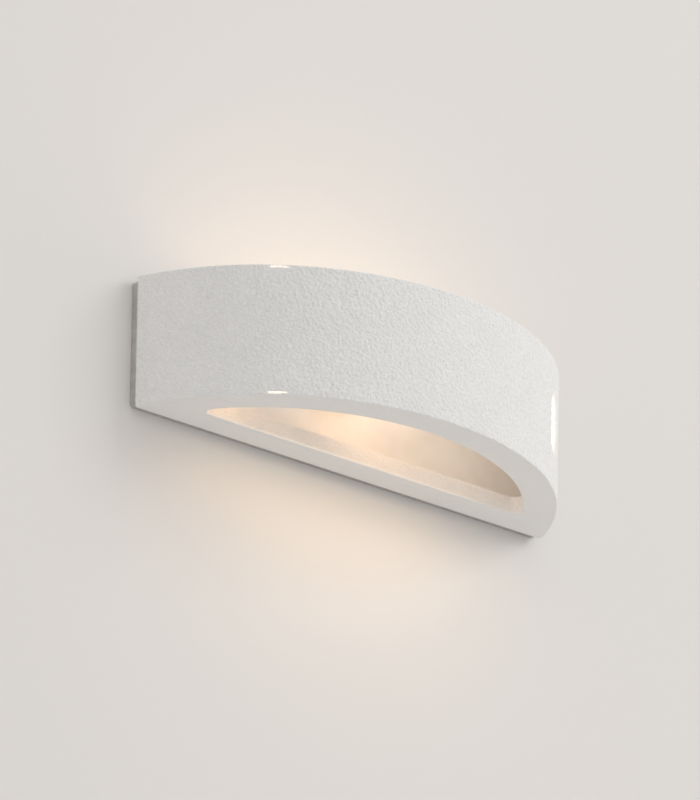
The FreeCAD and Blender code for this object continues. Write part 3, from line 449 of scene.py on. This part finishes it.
def spun(start, turns):
    """Turns one point about one upright axis after another; returns the places it passes."""
    mesh = bmesh.new()
    count = 1
    point = mesh.verts.new(start)
    for centre, turn, steps in turns:
        bmesh.ops.spin(mesh, geom=[point], cent=centre, axis=(0, 0, 1), angle=turn, steps=steps)
        count += steps
        mesh.verts.ensure_lookup_table()
        point = mesh.verts[count - 1]
    places = [item.co.copy() for item in mesh.verts]
    mesh.free()
    return places


def ring(centre, radius, height, steps):
    """The places of a flat circle."""
    x, y = centre
    return spun((x + radius, y, height), [((x, y, height), math.tau, steps)])[:-1]


def skin(mesh, rows, closed):
    """Extrudes the first row through all the others; returns every row's points in order."""
    points = [mesh.verts.new(place) for place in rows[0]]
    pairs = list(zip(points, points[1:]))
    if closed:
        pairs.append((points[-1], points[0]))
    edges = [mesh.edges.new(pair) for pair in pairs]
    lines = [points]
    for row in rows[1:]:
        made = bmesh.ops.extrude_edge_only(mesh, edges=edges)["geom"]
        fresh = {item for item in made if isinstance(item, bmesh.types.BMVert)}
        edges = [item for item in made if isinstance(item, bmesh.types.BMEdge)
                 and item.verts[0] in fresh and item.verts[1] in fresh]
        order = {point: index for index, point in enumerate(lines[-1])}
        line = [None] * len(row)
        for point in fresh:
            parent = next(edge.other_vert(point) for edge in point.link_edges
                          if edge.other_vert(point) in order)
            line[order[parent]] = point
        for point, place in zip(line, row):
            point.co = place
        lines.append(line)
    return lines


def edges_along(line, closed=False):
    """The edges that join a row's points in order."""
    pairs = list(zip(line, line[1:]))
    if closed:
        pairs.append((line[-1], line[0]))
    found = []
    for first, second in pairs:
        found.append(next(edge for edge in first.link_edges if edge.other_vert(first) is second))
    return found


def flat_fill(mesh, edges, normal):
    bmesh.ops.triangle_fill(mesh, use_beauty=False, use_dissolve=False, edges=edges, normal=normal)


def lifted(places, height):
    return [Vector((place.x, place.y, height)) for place in places]


def finish_piece(name, mesh, body, slot, *replaced):
    """Turns a closed mesh into a piece that rides on a body and stands for CAD nodes."""
    bmesh.ops.recalc_face_normals(mesh, faces=mesh.faces)
    open_edges = sum(len(edge.link_faces) != 2 for edge in mesh.edges)
    if open_edges:
        raise RuntimeError(f"{name} has {open_edges} edges that don't join two faces")
    data = bpy.data.meshes.new(name)
    mesh.to_mesh(data)
    mesh.free()
    piece = bpy.data.objects.new(name, data)
    bpy.context.scene.collection.objects.link(piece)
    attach(piece, body)
    if replaced:
        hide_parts(*replaced)
    coat(piece, slot)
    return piece


def soften(mesh, degrees):
    """Curved faces shade smoothly, and edges over the angle stay crisp."""
    limit = math.radians(degrees)
    for face in mesh.faces:
        face.smooth = True
    for edge in mesh.edges:
        edge.smooth = edge.calc_face_angle(0.0) < limit


# ---- plaster shade ----

class Plan:
    """The D-shaped plan: a front arc and two end arcs, all drawn in by an inset."""

    def __init__(self, sizes):
        self.back = SHADE_HIGH.y
        self.sweep = sizes.blend_angle
        self.front_radius = sizes.front_radius
        self.front_centre = SHADE_LOW.y + sizes.front_radius
        outward = Vector((math.sin(self.sweep), -math.cos(self.sweep)))
        blend = Vector((0.0, self.front_centre)) + sizes.front_radius * outward
        span = blend - Vector((SHADE_HIGH.x, self.back))
        self.end_radius = span.length_squared / (2 * span.dot(outward))
        self.end_centre = blend - self.end_radius * outward
        self.steps = (3, round(self.end_radius * END_SWEEP / sizes.grid),
                      round(self.front_radius * 2 * self.sweep / sizes.grid))

    def outline(self, inset, setback, radius, steps):
        """From the left tip round the front to the right one, as an open row of flat places."""
        tip_steps, end_steps, front_steps = steps
        reach = self.end_radius - inset - radius
        tip_y = self.back - setback - radius
        rise = tip_y - self.end_centre.y
        tip_x = self.end_centre.x + math.sqrt(reach * reach - rise * rise)
        meet = math.atan2(rise, tip_x - self.end_centre.x)
        tip_turn = math.pi / 2 - meet
        end_turn = math.pi / 2 - self.sweep + meet
        end_x, end_y = self.end_centre
        return spun((-tip_x, self.back - setback, 0.0), (
            ((-tip_x, tip_y, 0.0), tip_turn, tip_steps),
            ((-end_x, end_y, 0.0), end_turn, end_steps),
            ((0.0, self.front_centre, 0.0), 2 * self.sweep, front_steps),
            ((end_x, end_y, 0.0), end_turn, end_steps),
            ((tip_x, tip_y, 0.0), tip_turn, tip_steps)))


def rounding(radius, steps):
    """(drawn in, down) from a flat face round to an upright one, without its last row."""
    turns = [math.pi / 2 * step / steps for step in range(steps)]
    return [(radius * (1 - math.sin(turn)), radius * (1 - math.cos(turn))) for turn in turns]


def levels(low, high, spacing):
    steps = max(round((high - low) / spacing), 1)
    return [low + (high - low) * step / steps for step in range(steps + 1)]


def outer_wall(mesh, plan, sizes):
    """The hammered face, rounded at both rims; its ends stand open at the wall."""
    top = SHADE_HIGH.z
    edge = rounding(sizes.edge_radius, 6)
    rows = [(inset, down - top) for inset, down in edge]
    rows += [(0.0, height) for height in levels(sizes.edge_radius - top, top - sizes.edge_radius,
                                                sizes.grid)]
    rows += [(inset, top - down) for inset, down in reversed(edge)]
    shapes = {inset: plan.outline(inset, 0.0, sizes.corner_radius, plan.steps)
              for inset in {inset for inset, height in rows}}
    return rows, skin(mesh, [lifted(shapes[inset], height) for inset, height in rows],
                      closed=False)


def lip(mesh, plan, sizes, side):
    """The opening's edge through one rim, from its outer face in to the hollow."""
    top = SHADE_HIGH.z
    rows = rounding(sizes.lip_radius, 4)
    rows += [(0.0, down) for down in levels(sizes.lip_radius, sizes.rim_height, sizes.lip_grid)]
    steps = tuple(round(count * sizes.grid / sizes.lip_grid) for count in plan.steps[1:])
    shapes = {}
    for offset in {offset for offset, down in rows}:
        places = plan.outline(sizes.rim_width - offset, sizes.back_bar - offset,
                              sizes.tip_radius + offset, (TIP_STEPS, *steps))
        back_steps = round(plan.front_radius / sizes.lip_grid)
        line = [places[-1].lerp(places[0], step / back_steps) for step in range(1, back_steps)]
        # A dead straight line would make the fill leave triangles without an area.
        for place in line:
            place.y += BACK_LINE_WOBBLE * noise.noise(place / sizes.grain)
        shapes[offset] = places + line
    return rows, skin(mesh, [lifted(shapes[offset], side * (top - down))
                             for offset, down in rows], closed=True)


def hollow(mesh, plan, sizes):
    """The hollow's upright wall; the hollow is open to the back plate."""
    inner = SHADE_HIGH.z - sizes.rim_height
    places = plan.outline(sizes.wall, 0.0, sizes.hollow_radius, (2, 60, 90))
    return skin(mesh, [lifted(places, height) for height in levels(-inner, inner, 6 * sizes.grid)],
                closed=False)


def screw_hole(mesh, x, y, sizes):
    """A counterbored hole down through the top rim; returns its first and its last ring."""
    top = SHADE_HIGH.z
    seat = top - sizes.counterbore_depth
    wide, narrow = sizes.counterbore_radius, sizes.sleeve_radius
    rows = [ring((x, y), radius, height, HOLE_STEPS) for radius, height in (
        (wide + HOLE_CHAMFER, top), (wide, top - HOLE_CHAMFER), (wide, seat), (narrow, seat),
        (narrow, top - sizes.rim_height))]
    lines = skin(mesh, rows, closed=True)
    return lines[0], lines[-1]


def dent(lines, weights, grain, depth, layer):
    """Presses grains into rows of points along their normals; weights are by row."""
    for line, weight in zip(lines, weights):
        for point in line:
            near_wall = min(max((SHADE_HIGH.y - point.co.y) / WALL_FADE, 0.0), 1.0)
            share = weight * near_wall
            place = point.co / grain
            fine = noise.noise(place * FINE_GRAIN + FINE_GRAIN_OFFSET)
            height = noise.noise(place) + FINE_GRAIN_SHARE * fine
            point[layer] = share
            point.co += point.normal * height * depth * share


class WALLLIGHT_OT_shade(bpy.types.Operator):
    """Builds the plaster shade with its hammered face and its two open rims"""
    bl_idname = "walllight.shade"
    bl_label = "Plaster Shade"

    def execute(self, context):
        sizes = context.scene.shade_sizes
        plan = Plan(sizes)
        mesh = bmesh.new()
        layer = mesh.verts.layers.float.new("hammered")
        outer_rows, outer = outer_wall(mesh, plan, sizes)
        inside = hollow(mesh, plan, sizes)
        lips = {side: lip(mesh, plan, sizes, side) for side in (-1, 1)}
        screw_x = SHADE_HIGH.x - sizes.screw_inset
        sleeve_low, sleeve_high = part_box("rim_sleeve_right")
        screw_y = (sleeve_low.y + sleeve_high.y) / 2
        holes = [screw_hole(mesh, x, screw_y, sizes) for x in (-screw_x, screw_x)]

        back_edges = []
        for side, row in ((-1, 0), (1, -1)):
            rim_line = mesh.edges.new((outer[row][-1], outer[row][0]))
            sill_line = mesh.edges.new((inside[row][-1], inside[row][0]))
            back_edges += [rim_line, sill_line]
            opening = lips[side][1]
            rim_edges = edges_along(outer[row]) + [rim_line] + edges_along(opening[0], True)
            ledge_edges = edges_along(inside[row]) + [sill_line] + edges_along(opening[-1], True)
            if side > 0:
                for first, last in holes:
                    rim_edges += edges_along(first, True)
                    ledge_edges += edges_along(last, True)
            flat_fill(mesh, rim_edges, (0, 0, side))
            flat_fill(mesh, ledge_edges, (0, 0, -side))
        for rows in (outer, inside):
            for column in (0, -1):
                back_edges += edges_along([line[column] for line in rows])
        flat_fill(mesh, back_edges, (0, 1, 0))

        bmesh.ops.recalc_face_normals(mesh, faces=mesh.faces)
        mesh.normal_update()
        outer_weights = [1.0 - min(inset / sizes.edge_radius, 1.0) for inset, height in outer_rows]
        dent(outer, outer_weights, sizes.grain, sizes.grain_depth, layer)
        for rows, lines in lips.values():
            weights = [min(down / sizes.lip_radius, 1.0) for offset, down in rows]
            weights[-1] = 0.0
            dent(lines, weights, sizes.grain, sizes.lip_grain_depth, layer)
        soften(mesh, CREASE)
        finish_piece("cast_shade", mesh, "shade", "plaster", "plaster_shade")
        return {"FINISHED"}


class WALLLIGHT_OT_finishes(bpy.types.Operator):
    """Makes one material for each finish and puts it on the fittings that keep their shape"""
    bl_idname = "walllight.finishes"
    bl_label = "Finishes"

    def execute(self, context):
        made = make_finishes(context.scene.finish_colours)
        FINISHES.update({slot: material.name for slot, material in made.items()})
        for name, node in frame["nodes"].items():
            coat(node, NODE_SLOTS[name])
        plate = frame["nodes"]["back_plate"]
        colours = context.scene.finish_colours
        plate.data.materials[0] = plate_finish("plate_sheet", colours.plate, colours.bare_plate)
        return {"FINISHED"}


# ---- stage ----

def plane(name, turn, place, side):
    """A square sheet of the stage."""
    mesh = bmesh.new()
    bmesh.ops.create_grid(mesh, x_segments=1, y_segments=1, size=side / 2,
                          matrix=Matrix.Translation(place) @ turn)
    data = bpy.data.meshes.new(name)
    mesh.to_mesh(data)
    mesh.free()
    sheet = bpy.data.objects.new(name, data)
    bpy.context.scene.collection.objects.link(sheet)
    return sheet


def soft_lamp(name, place, target, width, depth, power, tint):
    """An area lamp that the camera doesn't see; only the large ones show in glossy surfaces."""
    data = bpy.data.lights.new(name, "AREA")
    data.shape, data.size, data.size_y, data.energy = "RECTANGLE", width, depth, power
    data.color = tint
    lamp = bpy.data.objects.new(name, data)
    bpy.context.scene.collection.objects.link(lamp)
    direction = Vector(target) - Vector(place)
    lamp.matrix_world = (Matrix.Translation(place)
                         @ direction.to_track_quat("-Z", "Y").to_matrix().to_4x4())
    lamp.visible_camera = False
    lamp.visible_glossy = width > ROOM_LAMP_SIDE


def glow_lamps(sizes):
    """Warm lamps at both openings and at both ends of the hollow, beside the lit bulb."""
    bulb_low, bulb_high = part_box("lamp_bulb")
    middle = (bulb_low + bulb_high) / 2
    for name, side in (("glow_up", 1), ("glow_down", -1)):
        place = Vector((middle.x - 22 * MM, middle.y, side * (SHADE_HIGH.z - 2 * MM)))
        soft_lamp(name, place, place + Vector((0, 0, side)), 190 * MM, 46 * MM,
                  sizes.glow_power * (1.0 - 0.12 * side), (1.0, 0.77, 0.53))
    left = Vector((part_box("lampholder_body")[0].x - 12 * MM, middle.y, 0.0))
    soft_lamp("glow_left", left, left - Vector((1, 0, 0)), 20 * MM, 40 * MM, sizes.end_power,
              (1.0, 0.64, 0.36))
    right = Vector((bulb_high.x + 42 * MM, middle.y - 14 * MM, 0.0))
    soft_lamp("glow_right", right, right + Vector((0.25, 1, 0)), 60 * MM, 30 * MM,
              0.35 * sizes.end_power, (1.0, 0.74, 0.50))


def wall_paint(tint):
    """Rolled wall paint; a view from behind looks through it."""
    material = new_material("wall_paint")
    tree = material.node_tree
    shader = surface(material, tint, 0.9, Specular_IOR_Level=0.2)
    stipple = noise_of(tree, object_place(tree), 1.6 * MM, 3.0)
    tree.links.new(bumps(tree, stipple, 0.25, 0.12 * MM), shader.inputs["Normal"])
    ray = node_of(tree, "ShaderNodeLightPath")
    place = node_of(tree, "ShaderNodeNewGeometry")
    behind = node_of(tree, "ShaderNodeMath", operation="MULTIPLY")
    tree.links.new(ray.outputs["Is Camera Ray"], behind.inputs[0])
    tree.links.new(place.outputs["Backfacing"], behind.inputs[1])
    mix = node_of(tree, "ShaderNodeMixShader")
    tree.links.new(behind.outputs[0], mix.inputs[0])
    tree.links.new(shader.outputs["BSDF"], mix.inputs[1])
    tree.links.new(node_of(tree, "ShaderNodeBsdfTransparent").outputs[0], mix.inputs[2])
    tree.links.new(mix.outputs[0], output_of(tree).inputs["Surface"])
    return material


def floor_paint(tint):
    material = new_material("floor_paint")
    tree = material.node_tree
    shader = surface(material, tint, 0.9)
    clouded(tree, shader, noise_of(tree, object_place(tree), 0.4, 2.0), 0.99, 1.01)
    return material


def room_light(strength):
    """Even light from all round; where the background shows, it is pale."""
    world = bpy.data.worlds.new("room")
    bpy.context.scene.world = world
    world.use_nodes = True
    tree = world.node_tree
    tree.nodes.clear()
    output = node_of(tree, "ShaderNodeOutputWorld")
    shown = node_of(tree, "ShaderNodeBackground")
    shown.inputs["Color"].default_value = (0.80, 0.79, 0.78, 1.0)
    lighting = node_of(tree, "ShaderNodeBackground")
    lighting.inputs["Color"].default_value = (1.0, 0.985, 0.97, 1.0)
    lighting.inputs["Strength"].default_value = strength
    ray = node_of(tree, "ShaderNodeLightPath")
    seen = node_of(tree, "ShaderNodeMath", operation="MAXIMUM")
    tree.links.new(ray.outputs["Is Camera Ray"], seen.inputs[0])
    tree.links.new(ray.outputs["Is Transmission Ray"], seen.inputs[1])
    mix = node_of(tree, "ShaderNodeMixShader")
    tree.links.new(seen.outputs[0], mix.inputs[0])
    tree.links.new(lighting.outputs[0], mix.inputs[1])
    tree.links.new(shown.outputs[0], mix.inputs[2])
    tree.links.new(mix.outputs[0], output.inputs["Surface"])


def aim_camera(sizes, target):
    """Sets the camera on its line of view, so many metres from the target."""
    azimuth, rise, roll = sizes.camera_azimuth, sizes.camera_rise, sizes.camera_roll
    forward = Vector((math.sin(azimuth) * math.cos(rise), math.cos(azimuth) * math.cos(rise),
                      math.sin(rise)))
    level = forward.cross(Vector((0, 0, 1))).normalized()
    upright = level.cross(forward)
    right = math.cos(roll) * level + math.sin(roll) * upright
    up = math.cos(roll) * upright - math.sin(roll) * level
    data = bpy.data.cameras.new("camera")
    data.lens, data.sensor_width = sizes.camera_lens, 36.0
    data.clip_start, data.clip_end = 0.1, 60.0
    camera = bpy.data.objects.new("camera", data)
    bpy.context.scene.collection.objects.link(camera)
    turn = Matrix((right, up, -forward)).transposed().to_4x4()
    camera.matrix_world = Matrix.Translation(target - forward * sizes.camera_distance) @ turn
    bpy.context.scene.camera = camera


class WALLLIGHT_OT_stage(bpy.types.Operator):
    """Sets up the wall, the floor, soft light and the camera"""
    bl_idname = "walllight.stage"
    bl_label = "Stage"

    def execute(self, context):
        sizes = context.scene.stage_sizes
        upright = Matrix.Rotation(math.pi / 2, 4, "X")
        wall = plane("wall", upright, (0, sizes.wall_gap, 0), sizes.wall_side)
        wall.data.materials.append(wall_paint(sizes.wall_colour))
        floor = plane("floor", Matrix.Identity(4), (0, 0, -sizes.floor_drop), 3 * sizes.wall_side)
        floor.data.materials.append(floor_paint(sizes.floor_colour))
        soft_lamp("key", KEY_PLACE, (0, 0, 0), KEY_SIDE, KEY_SIDE, sizes.key_power,
                  (1.0, 1.0, 1.0))
        soft_lamp("back", BACK_PLACE, (0, 0, 0), BACK_SIDE, BACK_SIDE, sizes.fill_power,
                  (1.0, 1.0, 1.0))
        glow_lamps(sizes)
        room_light(sizes.room_strength)
        aim_camera(sizes, VIEW_TARGET)
        context.scene.view_settings.view_transform = "Standard"
        return {"FINISHED"}


class WALLLIGHT_PT_panel(bpy.types.Panel):
    """Lists the light's pieces"""
    bl_idname = "WALLLIGHT_PT_panel"
    bl_label = "Wall Light"
    bl_space_type = "VIEW_3D"
    bl_region_type = "UI"
    bl_category = "Wall Light"

    def draw(self, context):
        for piece in PIECES:
            self.layout.operator(piece.bl_idname)
        for group in GROUPS:
            values = getattr(context.scene, group)
            box = self.layout.box()
            for name in values.bl_rna.properties.keys():
                if name not in {"rna_type", "name"}:
                    box.prop(values, name)


PIECES = (WALLLIGHT_OT_finishes, WALLLIGHT_OT_shade, WALLLIGHT_OT_stage)
GROUPS = {"shade_sizes": ShadeSizes, "finish_colours": FinishColours, "stage_sizes": StageSizes}


def register():
    for item in (*GROUPS.values(), *PIECES, WALLLIGHT_PT_panel):
        bpy.utils.register_class(item)
    for name, group in GROUPS.items():
        setattr(bpy.types.Scene, name, bpy.props.PointerProperty(type=group))


def unregister():
    for name in GROUPS:
        delattr(bpy.types.Scene, name)
    for item in reversed((*GROUPS.values(), *PIECES, WALLLIGHT_PT_panel)):
        bpy.utils.unregister_class(item)


def main():
    register()
    bpy.ops.walllight.finishes()
    bpy.ops.walllight.shade()
    bpy.ops.walllight.stage()


if __name__ == "__main__":
    main()
